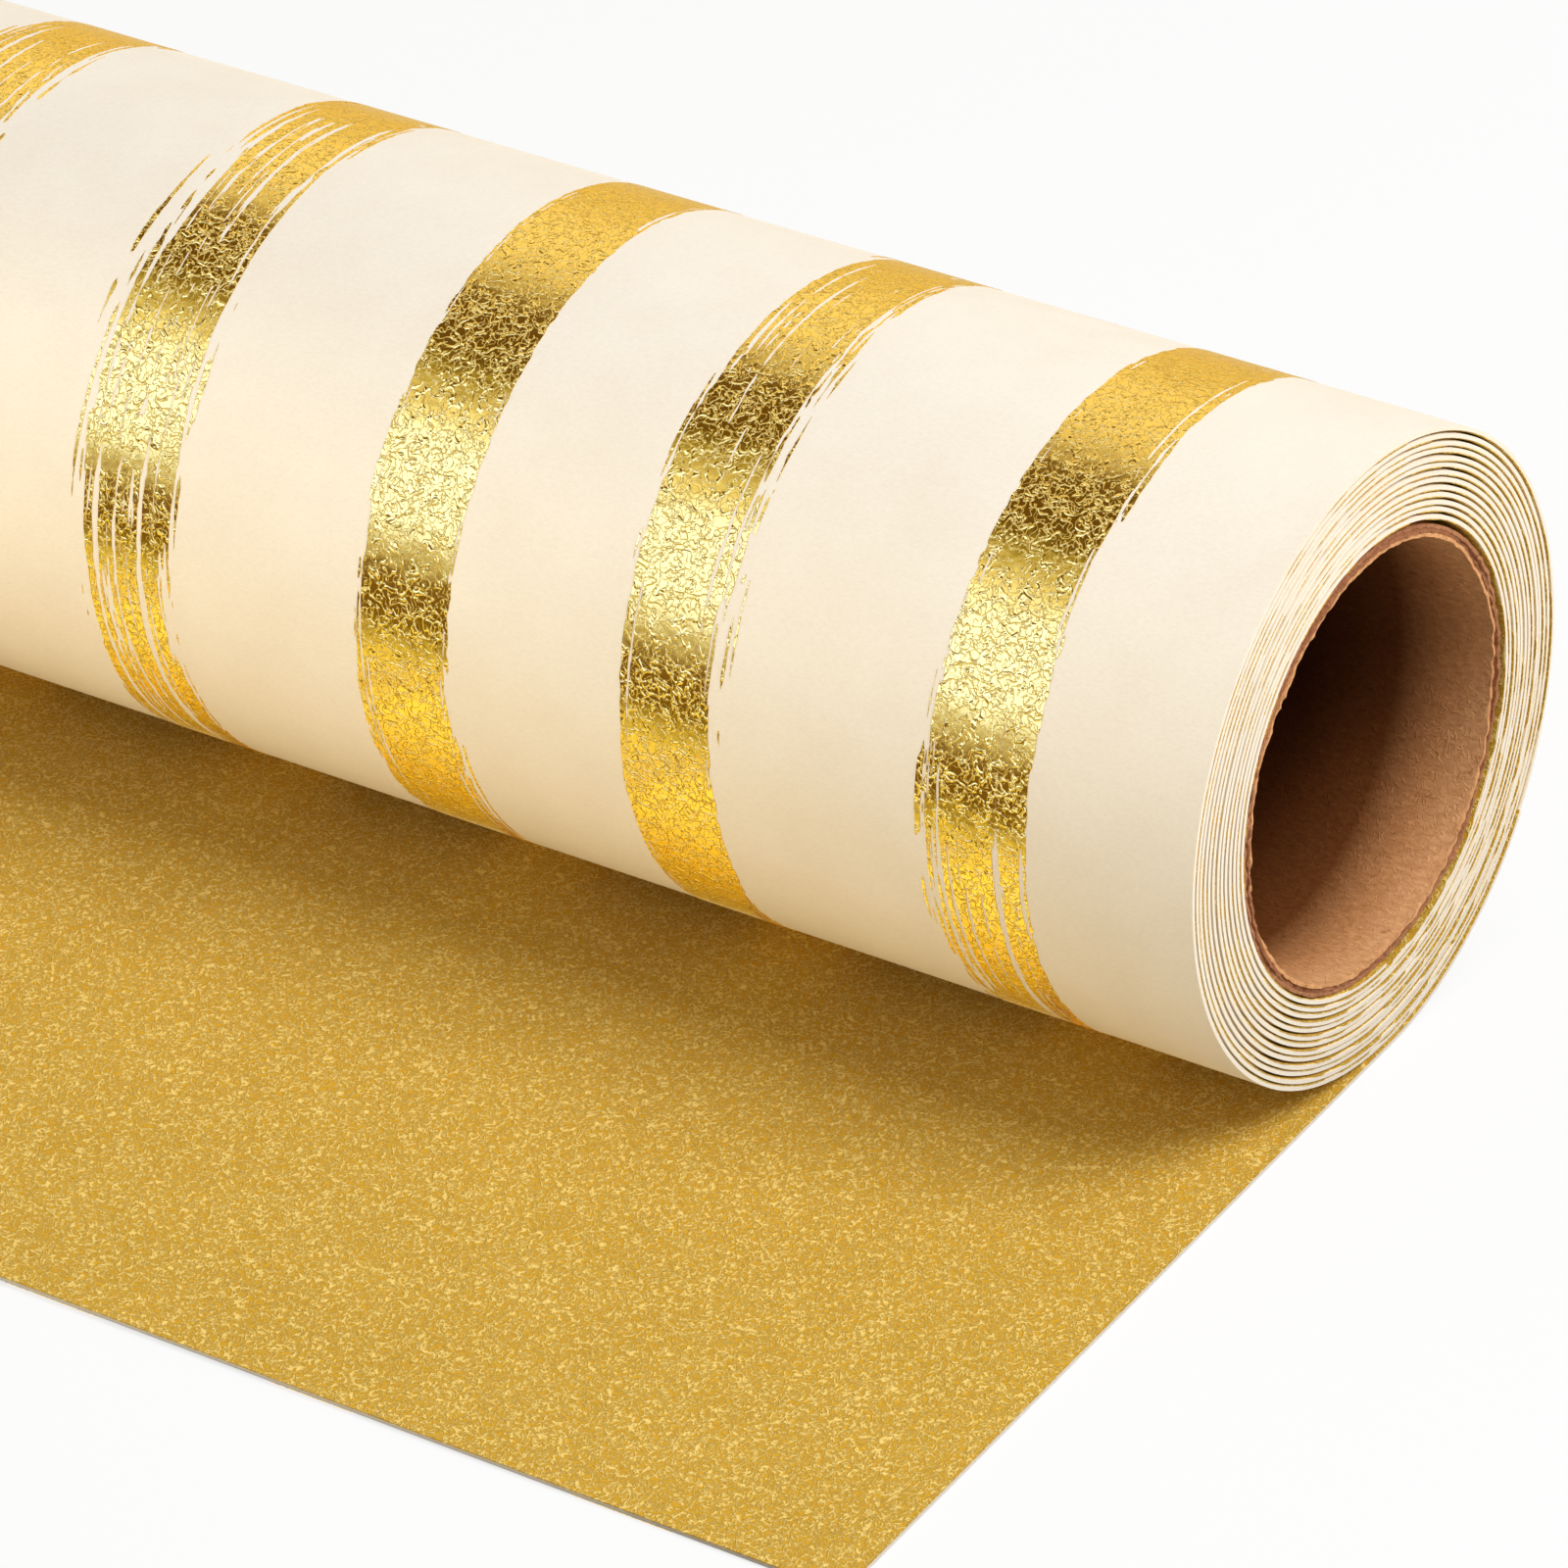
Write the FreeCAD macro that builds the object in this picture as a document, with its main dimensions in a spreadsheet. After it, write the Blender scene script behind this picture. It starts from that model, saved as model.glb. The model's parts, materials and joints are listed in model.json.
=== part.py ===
"""Wrapping paper roll: a kraft core, a web of foil-striped paper wound on it, and the web's laid-out end.

Frame, in millimetres: X runs along the roll, -Y is where the end of the web is laid, +Z is up.
The origin is on the table, straight below the roll's axis, at the middle of its length.
"""
import FreeCAD, Part
import math
import os
import Sketcher

V = FreeCAD.Vector
X_AXIS = V(1, 0, 0)

# Driving dimensions: alias, value (millimetres, degrees or a count), what it is
DIMENSIONS = [
    ("roll_length", 432.0, "width of the web, and length of the roll and its core"),
    ("core_bore_diameter", 36.0, "clear bore of the core"),
    ("core_ply_thickness", 0.35, "one ply of the three-ply kraft core"),
    ("glue_thickness", 0.14, "glue film between the core and the first turn"),
    ("glue_sweep", 36.0, "arc of the core that the glue strip covers"),
    ("paper_thickness", 0.18, "printed paper, the outside of each turn"),
    ("backing_thickness", 0.14, "gold backing, the inside of each turn"),
    ("foil_thickness", 0.05, "foil of the stripes, on the outermost turn"),
    ("turn_gap", 0.16, "air between two turns"),
    ("turn_count", 15, "turns of web on the core"),
    ("lead_off_clearance", 0.15, "room between the turning roll and the stretch that leaves it"),
    ("lead_off_sweep", 50.0, "arc of that stretch, from the table up the roll's far side"),
    ("laid_length", 78.0, "web that lies on the table in front of the axis"),
    ("stripe_count", 15, "foil stripes along the roll"),
    ("stripe_width", 10.2, "width of a stripe"),
    ("first_stripe", 19.8, "distance from the +X end to the centre of the first stripe"),
    ("last_stripe", 23.0, "distance from the -X end to the centre of the last stripe"),
]
# The painted pattern repeats every five stripes; each is off its even place by this much, in mm
STRIPE_DRIFT = [0.0, 1.3, -1.3, -1.2, 0.0]

CORE_PLIES = ["core_inner_ply", "core_middle_ply", "core_outer_ply"]

doc = FreeCAD.newDocument("wrapping_paper_roll")


def make_sheet():
    """The spreadsheet of driving dimensions, with the sizes that follow from them."""
    sheet = doc.addObject("Spreadsheet::Sheet", "Dimensions")
    for row, (alias, value, meaning) in enumerate(DIMENSIONS, start=1):
        sheet.set(f"A{row}", alias)
        sheet.set(f"B{row}", str(value))
        sheet.setAlias(f"B{row}", alias)
        sheet.set(f"C{row}", meaning)
    derived = [
        ("core_outer_radius", f"=core_bore_diameter / 2 + {len(CORE_PLIES)} * core_ply_thickness"),
        ("web_thickness", "=paper_thickness + backing_thickness"),
        ("turn_pitch", "=web_thickness + turn_gap"),
        ("first_turn_radius", "=core_outer_radius + glue_thickness"),
        ("last_half_turn", "=2 * turn_count - 1"),
        ("wound_radius", "=first_turn_radius + turn_count * turn_pitch + web_thickness"),
        ("lead_off_inner_radius", "=wound_radius + foil_thickness + lead_off_clearance"),
        ("lead_off_middle_radius", "=lead_off_inner_radius + backing_thickness"),
        ("axis_height", "=lead_off_middle_radius + paper_thickness"),
        ("half_length", "=roll_length / 2"),
        ("stripe_pitch", "=(roll_length - first_stripe - last_stripe) / (stripe_count - 1)"),
    ]
    for row, (alias, formula) in enumerate(derived, start=len(DIMENSIONS) + 2):
        sheet.set(f"A{row}", alias)
        sheet.set(f"B{row}", formula)
        sheet.setAlias(f"B{row}", alias)
    doc.recompute()
    return sheet


sheet = make_sheet()


def size(alias):
    """A cell's value, for the shapes that are built in code."""
    return float(sheet.get(alias))


def cross_section_body(label):
    """A body with a sketch on its YZ plane, whose section is later padded along X."""
    body = doc.addObject("PartDesign::Body", label)
    body.Label = label
    plane = next(f for f in body.Origin.OriginFeatures if f.Role == "YZ_Plane")
    sketch = body.newObject("Sketcher::SketchObject", f"{label}_section")
    sketch.AttachmentSupport = [(plane, "")]
    sketch.MapMode = "FlatFace"
    doc.recompute()
    return body, sketch


def pad_along_roll(body, sketch):
    """Pad the section over the whole roll length, half to each side of the YZ plane."""
    pad = body.newObject("PartDesign::Pad", f"{body.Name}_pad")
    pad.Profile = sketch
    pad.Midplane = True
    pad.setExpression("Length", "Dimensions.roll_length")
    sketch.Visibility = False
    doc.recompute()


def raise_to_axis(piece):
    """Put a piece that is drawn round the local origin on the roll's axis."""
    piece.Placement = FreeCAD.Placement(V(0, 0, size("axis_height")), FreeCAD.Rotation())
    piece.setExpression("Placement.Base.z", "Dimensions.axis_height")


def constrain(sketch, kind, geometry, value, name, expression):
    """Add a dimension to a sketch and bind it to the spreadsheet."""
    index = sketch.addConstraint(Sketcher.Constraint(kind, geometry, value))
    sketch.renameConstraint(index, name)
    sketch.setExpression(f"Constraints.{name}", expression)


def core_ply(label, index):
    """One ply of the core: a plain tube, index 0 being the innermost."""
    body, sketch = cross_section_body(label)
    inner = f"Dimensions.core_bore_diameter / 2 + {index} * Dimensions.core_ply_thickness"
    outer = f"Dimensions.core_bore_diameter / 2 + {index + 1} * Dimensions.core_ply_thickness"
    bore_radius = size("core_bore_diameter") / 2
    for number, (name, expression) in enumerate((("inner", inner), ("outer", outer))):
        radius = bore_radius + (index + number) * size("core_ply_thickness")
        circle = sketch.addGeometry(Part.Circle(V(0, 0, 0), V(0, 0, 1), radius), False)
        sketch.addConstraint(Sketcher.Constraint("Coincident", circle, 3, -1, 1))
        constrain(sketch, "Radius", circle, radius, name, expression)
    pad_along_roll(body, sketch)
    raise_to_axis(body)
    return body


def arc_band(label, inner, outer, sweep, far_side):
    """A band of a tube's wall that starts at the bottom and rises by the arc sweep.

    inner, outer and sweep are aliases; far_side says whether it rises on the +Y or the -Y side.
    """
    body, sketch = cross_section_body(label)
    angle = math.radians(size(sweep))
    down = -math.pi / 2
    start, end = (down, down + angle) if far_side else (down - angle, down)
    arcs = []
    for name, alias in (("inner", inner), ("outer", outer)):
        circle = Part.Circle(V(0, 0, 0), V(0, 0, 1), size(alias))
        arc = sketch.addGeometry(Part.ArcOfCircle(circle, start, end), False)
        sketch.addConstraint(Sketcher.Constraint("Coincident", arc, 3, -1, 1))
        constrain(sketch, "Radius", arc, size(alias), name, f"Dimensions.{alias}")
        arcs.append(arc)
    bottom, top = (1, 2) if far_side else (2, 1)
    edges = {}
    for name, end_point in (("bottom_edge", bottom), ("top_edge", top)):
        ends = [sketch.getPoint(arc, end_point) for arc in arcs]
        edge = sketch.addGeometry(Part.LineSegment(*ends), False)
        sketch.addConstraint(Sketcher.Constraint("Coincident", edge, 1, arcs[0], end_point))
        sketch.addConstraint(Sketcher.Constraint("Coincident", edge, 2, arcs[1], end_point))
        edges[name] = edge
    sketch.addConstraint(Sketcher.Constraint("PointOnObject", arcs[0], bottom, -2))
    sketch.addConstraint(Sketcher.Constraint("PointOnObject", arcs[1], bottom, -2))
    sketch.addConstraint(Sketcher.Constraint("PointOnObject", -1, 1, edges["top_edge"]))
    index = sketch.addConstraint(Sketcher.Constraint("Angle", arcs[0], angle))
    sketch.renameConstraint(index, "sweep")
    sketch.setExpression("Constraints.sweep", f"Dimensions.{sweep} * 1 deg")
    pad_along_roll(body, sketch)
    raise_to_axis(body)
    return body


def laid_layer(label, thickness, height):
    """One layer of the web's laid end: a thin slab from the free edge to the roll's lowest line."""
    slab = doc.addObject("Part::Box", label)
    slab.Label = label
    slab.setExpression("Length", "Dimensions.roll_length")
    slab.setExpression("Width", "Dimensions.laid_length")
    slab.setExpression("Height", f"Dimensions.{thickness}")
    slab.setExpression("Placement.Base.x", "-Dimensions.half_length")
    slab.setExpression("Placement.Base.y", "-Dimensions.laid_length")
    if height:
        slab.setExpression("Placement.Base.z", f"Dimensions.{height}")
    return slab


def half_turn(index, offset):
    """Half a turn of the web as an arc, offset outwards from its inner face.

    Even half turns rise on the -Y side and are centred on the axis. Odd ones come down on the
    +Y side, centred half a pitch lower, so that each meets the next without a step.
    """
    radius = size("first_turn_radius") + index * size("turn_pitch") / 2 + offset
    rising = index % 2 == 0
    centre = 0.0 if rising else -size("turn_pitch") / 2
    bottom = V(0, 0, centre - radius)
    top = V(0, 0, centre + radius)
    side = V(0, -radius if rising else radius, centre)
    return Part.Arc(bottom, side, top) if rising else Part.Arc(top, side, bottom)


def spiral_layer(first, last, offset, thickness, x_low, x_high):
    """A layer of the web along the half turns first to last, offset from the web's inner face."""
    inner = [half_turn(i, offset) for i in range(first, last + 1)]
    outer = [half_turn(i, offset + thickness) for i in range(first, last + 1)]
    start = Part.LineSegment(inner[0].StartPoint, outer[0].StartPoint)
    end = Part.LineSegment(inner[-1].EndPoint, outer[-1].EndPoint)
    outline = Part.Wire(Part.__sortEdges__([c.toShape() for c in [*inner, end, *outer, start]]))
    section = Part.Face(outline)
    section.translate(V(x_low, 0, 0))
    return section.extrude(X_AXIS * (x_high - x_low))


def wound_piece(label, shape):
    """A piece of the wound roll, drawn round the local origin and put on the roll's axis."""
    piece = doc.addObject("Part::Feature", label)
    piece.Label = label
    piece.Shape = shape
    raise_to_axis(piece)
    return piece


def wound_layers():
    """The wound web: its gold backing inside and its printed paper outside."""
    half = size("half_length")
    last = round(size("last_half_turn"))
    backing = size("backing_thickness")
    gold = spiral_layer(0, last, 0, backing, -half, half)
    paper = spiral_layer(0, last, backing, size("paper_thickness"), -half, half)
    return [wound_piece("wound_gold_backing", gold), wound_piece("wound_paper", paper)]


def foil_stripes():
    """A foil band for each stripe, round the outermost turn."""
    last = round(size("last_half_turn"))
    stripes = []
    for index in range(round(size("stripe_count"))):
        drift = STRIPE_DRIFT[index % len(STRIPE_DRIFT)]
        from_end = size("first_stripe") + index * size("stripe_pitch") + drift
        low = size("half_length") - from_end - size("stripe_width") / 2
        high = low + size("stripe_width")
        band = spiral_layer(last - 1, last, size("web_thickness"), size("foil_thickness"), low, high)
        stripes.append(wound_piece(f"foil_stripe_{index + 1:02d}", band))
    return stripes


def check_document():
    """Stop if any object failed to recompute."""
    for item in doc.Objects:
        failed = [state for state in item.State if state in ("Invalid", "Error")]
        if failed:
            raise RuntimeError(f"{item.Label} is {failed}")


def export(pieces):
    """Check every piece's shape and write each to its own file."""
    for piece in pieces:
        if piece.Shape.isNull() or not piece.Shape.isValid() or not piece.Shape.Solids:
            raise RuntimeError(f"{piece.Label} has no valid solid")
    os.makedirs("parts", exist_ok=True)
    for piece in pieces:
        piece.Shape.exportStep(f"parts/{piece.Label}.step")
        print(f"{piece.Label:24s} {piece.Shape.Volume:12.1f} mm3")


parts = [core_ply(label, index) for index, label in enumerate(CORE_PLIES)]
parts.append(arc_band("core_glue_strip", "core_outer_radius", "first_turn_radius", "glue_sweep", False))
parts += wound_layers()
parts += foil_stripes()
parts.append(
    arc_band("lead_off_gold_backing", "lead_off_inner_radius", "lead_off_middle_radius",
             "lead_off_sweep", True)
)
parts.append(
    arc_band("lead_off_paper", "lead_off_middle_radius", "axis_height", "lead_off_sweep", True)
)
parts.append(laid_layer("laid_sheet_paper", "paper_thickness", None))
parts.append(laid_layer("laid_sheet_gold_backing", "backing_thickness", "paper_thickness"))

doc.recompute()
check_document()
export(parts)
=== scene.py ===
"""Looks of the wrapping paper roll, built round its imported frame. Metres; X along the roll, -Y to the viewer."""

import json
import math

import bpy
import numpy as np
from mathutils import Matrix, Vector

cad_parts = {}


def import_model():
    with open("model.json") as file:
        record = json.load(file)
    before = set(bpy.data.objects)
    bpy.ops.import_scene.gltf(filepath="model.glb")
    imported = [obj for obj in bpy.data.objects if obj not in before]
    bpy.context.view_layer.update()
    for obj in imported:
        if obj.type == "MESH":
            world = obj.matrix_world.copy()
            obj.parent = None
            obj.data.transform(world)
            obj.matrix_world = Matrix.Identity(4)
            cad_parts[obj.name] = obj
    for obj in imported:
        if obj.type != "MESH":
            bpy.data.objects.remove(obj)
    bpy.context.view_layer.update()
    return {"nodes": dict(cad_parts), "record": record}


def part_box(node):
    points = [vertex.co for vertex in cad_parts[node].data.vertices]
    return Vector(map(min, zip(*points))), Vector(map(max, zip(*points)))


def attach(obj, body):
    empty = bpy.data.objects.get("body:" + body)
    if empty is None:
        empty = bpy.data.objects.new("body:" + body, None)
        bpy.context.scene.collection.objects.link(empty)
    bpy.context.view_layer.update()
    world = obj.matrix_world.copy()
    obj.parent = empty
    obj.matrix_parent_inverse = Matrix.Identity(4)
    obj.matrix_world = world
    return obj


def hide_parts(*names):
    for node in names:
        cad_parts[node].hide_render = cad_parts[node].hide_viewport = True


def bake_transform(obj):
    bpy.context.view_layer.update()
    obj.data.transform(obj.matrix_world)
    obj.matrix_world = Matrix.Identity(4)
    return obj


MM = 0.001

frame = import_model()


# ---------------------------------------------------------------- sizes, from the frame

def mount(name):
    """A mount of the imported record."""
    return next(m for m in frame["record"]["mounts"] if m["name"] == name)


def outer_radius(node):
    """Radius of a node that is round about the roll's axis."""
    low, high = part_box(node)
    return (high.y - low.y) / 2


AXIS_Z = mount("core_bore")["pos_m"][2]
BORE_R = mount("core_bore")["dims"]["r_mm"] * MM
CORE_R = outer_radius("core_outer_ply")
HALF_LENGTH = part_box("wound_paper")[1].x
LAID_LENGTH = -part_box("laid_sheet_paper")[0].y

# The web as it is drawn: a cream paper, a thin gold backing, and foil pressed on the paper's outside
PAPER_T = 0.34 * MM
BACKING_T = 0.09 * MM
WEB_T = PAPER_T + BACKING_T
FOIL_T = 0.04 * MM
FOIL_LIFT = 0.05 * MM  # the paper's underside stands this far off the table, so that the foil fits
TURN = 2 * math.pi
TURNS = 13
LEAD_R = AXIS_Z - FOIL_LIFT
LEAD_SWEEP = math.asin(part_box("lead_off_paper")[1].y / AXIS_Z)
SEAM_STEP = 0.04 * MM  # the wound roll starts this far inside the stretch that leads off it
START_R = LEAD_R - SEAM_STEP
CORE_GAP = 0.05 * MM
TUCK = 0.12 * MM  # the outermost turn draws in this much more, so that it clears that stretch as it turns
TUCK_SWEEP = math.radians(150)
PITCH = (START_R - TUCK - CORE_R - CORE_GAP - WEB_T) / (TURNS - LEAD_SWEEP / TURN)
FRONT = 1.5 * math.pi  # winding angle of the line of the roll that is nearest to the viewer


# ---------------------------------------------------------------- smooth noise for shapes

class Noise:
    """Smooth seeded noise on a plane, from -1 to 1."""

    SIZE = 256

    def __init__(self, seed):
        self.table = np.random.default_rng(seed).uniform(-1, 1, (self.SIZE, self.SIZE))

    def __call__(self, across, along=0.0):
        across, along = np.broadcast_arrays(np.asarray(across, float), np.asarray(along, float))
        i, j = np.floor(across).astype(int), np.floor(along).astype(int)
        p, q = across - i, along - j
        p, q = p * p * (3 - 2 * p), q * q * (3 - 2 * q)
        low = self.at(i, j) * (1 - p) + self.at(i + 1, j) * p
        high = self.at(i, j + 1) * (1 - p) + self.at(i + 1, j + 1) * p
        return low * (1 - q) + high * q

    def at(self, i, j):
        return self.table[i % self.SIZE, j % self.SIZE]


def smoothstep(low, high, value):
    """0 below low, 1 above high, smooth between."""
    t = np.clip((np.asarray(value, float) - low) / (high - low), 0, 1)
    return t * t * (3 - 2 * t)


# ---------------------------------------------------------------- meshes

def mesh_piece(name, vertices, faces, material, slot, smooth_angle=35):
    """A mesh object with one material, smooth apart from its sharp edges."""
    mesh = bpy.data.meshes.new(name)
    mesh.from_pydata([tuple(v) for v in vertices], [], faces)
    mesh.validate()
    mesh.shade_smooth()
    mesh.set_sharp_from_angle(angle=math.radians(smooth_angle))
    mesh.materials.append(material)
    piece = bpy.data.objects.new(name, mesh)
    bpy.context.scene.collection.objects.link(piece)
    return piece


def shell(outer, inner, x_rows):
    """Vertices and faces of a closed strip: outer and inner are its two faces' (y, z) at each step
    along it, and x_rows the x of each row across it, one column for each step."""
    steps, rows = len(outer), len(x_rows)
    points = np.zeros((steps, 2 * rows, 3))
    for row in range(rows):
        for column, side in ((row, outer), (2 * rows - 1 - row, inner)):
            points[:, column, 0] = x_rows[row]
            points[:, column, 1:] = side
    ring = 2 * rows
    faces = []
    for step in range(steps - 1):
        here, there = step * ring, (step + 1) * ring
        faces += [
            (here + k, here + (k + 1) % ring, there + (k + 1) % ring, there + k) for k in range(ring)
        ]
    last = (steps - 1) * ring
    for k in range(rows - 1):
        faces.append((k, ring - 1 - k, ring - 2 - k, k + 1))
        faces.append((last + k, last + k + 1, last + ring - 2 - k, last + ring - 1 - k))
    return points.reshape(-1, 3), faces


def on_circle(radius, angle):
    """(y, z) at a winding angle: 0 at the bottom, a quarter turn at the far side, half at the top."""
    return np.stack([radius * np.sin(angle), AXIS_Z - radius * np.cos(angle)], axis=-1)


# ---------------------------------------------------------------- the web's path

LOOSE_WAVE = 0.046 * MM  # neighbouring turns sit in pairs, closer and further apart
LOOSE_SIDES = 0.45  # share of that at the roll's two sides, where the turns lie tighter
LOOSE_DRIFT = 0.018 * MM
LOOSE_RIPPLE = 0.006 * MM
loose_noise = Noise(11)
ripple_noise = Noise(12)


def wound_radius(angle):
    """Radius of the paper's outside at a winding angle, counted inwards from the nip under the roll."""
    angle = np.asarray(angle, float)
    settled = smoothstep(0.9 * TURN, 1.3 * TURN, angle)
    settled = settled * (1 - smoothstep((TURNS - 1) * TURN, TURNS * TURN, angle))
    pairs = np.cos(angle / 2 + math.pi / 4) * (LOOSE_SIDES + (1 - LOOSE_SIDES) * np.cos(angle) ** 2)
    drift = loose_noise(angle / TURN * 5.3)
    ripple = ripple_noise(angle / TURN * 70)
    loose = LOOSE_WAVE * pairs + LOOSE_DRIFT * drift + LOOSE_RIPPLE * ripple
    tucked = TUCK * smoothstep(LEAD_SWEEP, LEAD_SWEEP + TUCK_SWEEP, angle)
    return START_R - tucked - PITCH * (angle - LEAD_SWEEP) / TURN + settled * loose


def leading_path(length):
    """(y, z) and the outward (y, z) direction of the paper's outside, at a length along the web from
    the nip: negative on the table, positive up the far side of the roll."""
    length = np.asarray(length, float)
    angle = np.clip(length, 0, None) / LEAD_R
    place = on_circle(LEAD_R, angle)
    place[..., 0] += np.clip(length, None, 0)
    out = np.stack([np.sin(angle), -np.cos(angle)], axis=-1)
    return place, out


# ---------------------------------------------------------------- material nodes

class Nodes:
    """A short way to write a node tree."""

    def __init__(self, tree):
        self.tree = tree
        tree.nodes.clear()

    def add(self, kind, inputs=None, **settings):
        node = self.tree.nodes.new(kind)
        for key, value in settings.items():
            setattr(node, key, value)
        for key, value in (inputs or {}).items():
            self.feed(node.inputs[key], value)
        return node

    def feed(self, socket, value):
        if isinstance(value, bpy.types.NodeSocket):
            self.tree.links.new(value, socket)
        else:
            socket.default_value = value

    def math(self, operation, *values):
        node = self.add("ShaderNodeMath", operation=operation)
        for socket, value in zip(node.inputs, values):
            self.feed(socket, value)
        return node.outputs[0]

    def place(self, stretch=(1, 1, 1)):
        """The object's own coordinates, in millimetres, divided by stretch along each axis."""
        coordinates = self.add("ShaderNodeTexCoord").outputs["Object"]
        scale = tuple(1 / (MM * s) for s in stretch)
        return self.add("ShaderNodeMapping", {"Vector": coordinates, "Scale": scale}).outputs[0]

    def noise(self, vector, size_mm, detail=2.0, roughness=0.5, distortion=0.0):
        inputs = {
            "Vector": vector, "Scale": 1 / size_mm, "Detail": detail,
            "Roughness": roughness, "Distortion": distortion,
        }
        return self.add("ShaderNodeTexNoise", inputs).outputs["Fac"]

    def ramp(self, value, stops, interpolation="LINEAR"):
        node = self.add("ShaderNodeValToRGB", {"Fac": value})
        node.color_ramp.interpolation = interpolation
        elements = node.color_ramp.elements
        while len(elements) < len(stops):
            elements.new(0.5)
        for element, (position, colour) in zip(elements, stops):
            element.position = position
            element.color = (*colour, 1)
        return node.outputs["Color"]

    def bump(self, height, depth_mm, strength=1.0, normal=None):
        inputs = {"Height": height, "Distance": depth_mm * MM, "Strength": strength}
        if normal is not None:
            inputs["Normal"] = normal
        return self.add("ShaderNodeBump", inputs).outputs[0]

    def mix(self, factor, a, b, blend="MIX"):
        node = self.add("ShaderNodeMix", data_type="RGBA", blend_type=blend)
        self.feed(node.inputs["Factor"], factor)
        self.feed(node.inputs["A"], a)
        self.feed(node.inputs["B"], b)
        return node.outputs["Result"]


def new_material(name):
    """An empty material, and a writer for its nodes."""
    material = bpy.data.materials.new(name)
    material.use_nodes = True
    return material, Nodes(material.node_tree)


def finish_material(nodes, **inputs):
    """End a material in a Principled shader with these inputs, spaces written as underscores."""
    named = {key.replace("_", " "): value for key, value in inputs.items()}
    shader = nodes.add("ShaderNodeBsdfPrincipled", named)
    output = nodes.add("ShaderNodeOutputMaterial")
    nodes.tree.links.new(shader.outputs[0], output.inputs["Surface"])


def cream_paper_material():
    material, nodes = new_material("cream_paper")
    place = nodes.place()
    mottle = nodes.noise(place, 7.0, detail=4)
    fibre = nodes.noise(nodes.place((2.2, 1, 1)), 0.20, detail=3, roughness=0.6)
    tone = nodes.ramp(mottle, [(0.30, (0.930, 0.845, 0.715)), (0.70, (0.960, 0.885, 0.765))])
    speck = nodes.ramp(fibre, [(0.30, (0.955, 0.945, 0.925)), (0.62, (1, 1, 1))])
    colour = nodes.mix(1.0, tone, speck, "MULTIPLY")
    relief = nodes.bump(fibre, 0.02, 0.35)
    finish_material(
        nodes, Base_Color=colour, Roughness=0.82, Specular_IOR_Level=0.25, Normal=relief
    )
    return material


def worm_lines(nodes, size_mm, width, distortion=0.7):
    """Thin raised lines that wander and close on themselves, like embossed grain: 1 on a line's top."""
    cloud = nodes.noise(nodes.place(), size_mm, detail=0.6, roughness=0.4, distortion=distortion)
    away = nodes.math("ABSOLUTE", nodes.math("SUBTRACT", cloud, 0.5))
    inputs = {"Value": away, "From Min": 0.0, "From Max": width, "To Min": 1.0, "To Max": 0.0}
    return nodes.add("ShaderNodeMapRange", inputs, interpolation_type="SMOOTHSTEP").outputs[0]


def gold_foil_material():
    """Hot-stamped foil, embossed with fine wandering lines."""
    material, nodes = new_material("gold_foil")
    worms = nodes.math("MAXIMUM", worm_lines(nodes, 0.95, 0.060), worm_lines(nodes, 0.56, 0.045))
    waves = nodes.noise(nodes.place(), 1.9, detail=2)
    tone = nodes.ramp(worms, [(0.0, (0.945, 0.650, 0.185)), (1.0, (0.965, 0.700, 0.235))])
    relief = nodes.bump(waves, 0.09, 0.7)
    relief = nodes.bump(worms, 0.055, 1.0, relief)
    finish_material(
        nodes, Base_Color=tone, Metallic=1.0, Roughness=0.15, Normal=relief,
        Specular_Tint=(1.0, 0.78, 0.42, 1),
    )
    return material


def gold_backing_material():
    """Matt gold ink on the web's inner side, with a fine pressed grain."""
    material, nodes = new_material("gold_backing")
    worms = nodes.math("MAXIMUM", worm_lines(nodes, 0.52, 0.09), worm_lines(nodes, 0.34, 0.06))
    cloud = nodes.noise(nodes.place(), 11.0, detail=3)
    tone = nodes.ramp(worms, [(0.0, (0.720, 0.400, 0.030)), (1.0, (1.000, 0.735, 0.225))])
    shade = nodes.ramp(cloud, [(0.3, (0.95, 0.94, 0.91)), (0.7, (1, 1, 1))])
    colour = nodes.mix(1.0, tone, shade, "MULTIPLY")
    relief = nodes.bump(worms, 0.080, 1.0)
    finish_material(
        nodes, Base_Color=colour, Metallic=0.12, Roughness=0.55, Normal=relief,
        Specular_IOR_Level=0.15, Specular_Tint=(1.0, 0.80, 0.45, 1),
    )
    return material


# Painted shade for the inside of the core: the board's colour is multiplied darker by distance in from the nearer
# end of the roll, over DEEP_INSIDE millimetres
DEEP_INSIDE = 20  # millimetres from an end
KRAFT_PAINTED_SHADE = [
    (0.07, (1, 1, 1)), (0.22, (0.74, 0.67, 0.60)), (0.45, (0.19, 0.12, 0.07)), (0.85, (0.08, 0.04, 0.02)),
]

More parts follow.
